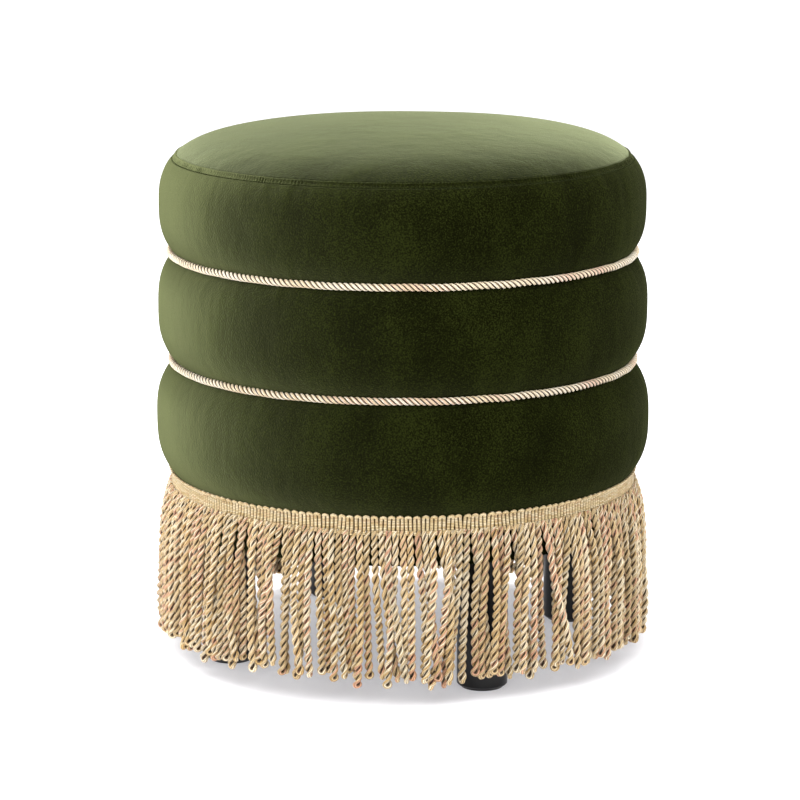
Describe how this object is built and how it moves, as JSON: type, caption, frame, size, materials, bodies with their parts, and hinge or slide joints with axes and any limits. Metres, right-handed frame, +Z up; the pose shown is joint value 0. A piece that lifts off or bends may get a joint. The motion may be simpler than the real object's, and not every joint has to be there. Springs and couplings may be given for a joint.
{
  "type": "tuffet",
  "caption": "Round upholstered footstool: padded velvet drum drawn into tiers by ropes, domed seat, bullion fringe hanging over turned legs.",
  "frame": {"origin": "on the floor, under the middle of the seat", "axes": "+Z up through the middle of the seat, -Y towards the front, +X to the right as seen from the front, legs on the diagonals"},
  "size_m": [0.4616, 0.4616, 0.497],
  "materials": {
    "velvet": "olive moss green cotton velvet with a directional sheen",
    "gold_cord": "twisted rayon cord, antique gold with a soft lustre",
    "gold_gimp": "woven rayon gimp heading, antique gold",
    "gold_bullion": "twisted rayon bullion cords, antique gold with slight shade variation",
    "black_lacquer": "turned hardwood in satin black lacquer",
    "glide_nylon": "black nylon",
    "zinc_steel": "bright zinc plated steel",
    "dust_cloth": "black non-woven cloth",
    "plywood": "unfinished birch plywood",
    "frame_timber": "planed softwood",
    "chipboard_wrap": "grey-brown upholstery board",
    "seat_foam": "cut polyurethane foam"
  },
  "bodies": {
    "root": {"top_panel": "velvet", "top_tier_cover": "velvet", "middle_tier_cover": "velvet", "low_tier_cover": "velvet", "upper_rope": "gold_cord", "lower_rope": "gold_cord", "fringe_header": "gold_gimp", "fringe_front": "gold_bullion", "fringe_right": "gold_bullion", "fringe_back": "gold_bullion", "fringe_left": "gold_bullion", "leg_front_left": "black_lacquer", "leg_front_right": "black_lacquer", "leg_back_left": "black_lacquer", "leg_back_right": "black_lacquer", "leg_glides": "glide_nylon", "hanger_bolts": "zinc_steel", "tee_nuts": "zinc_steel", "dust_cover": "dust_cloth", "base_board": "plywood", "top_board": "plywood", "post_front": "frame_timber", "post_right": "frame_timber", "post_back": "frame_timber", "post_left": "frame_timber", "drum_wall": "chipboard_wrap", "seat_foam": "seat_foam"}
  },
  "joints": []
}
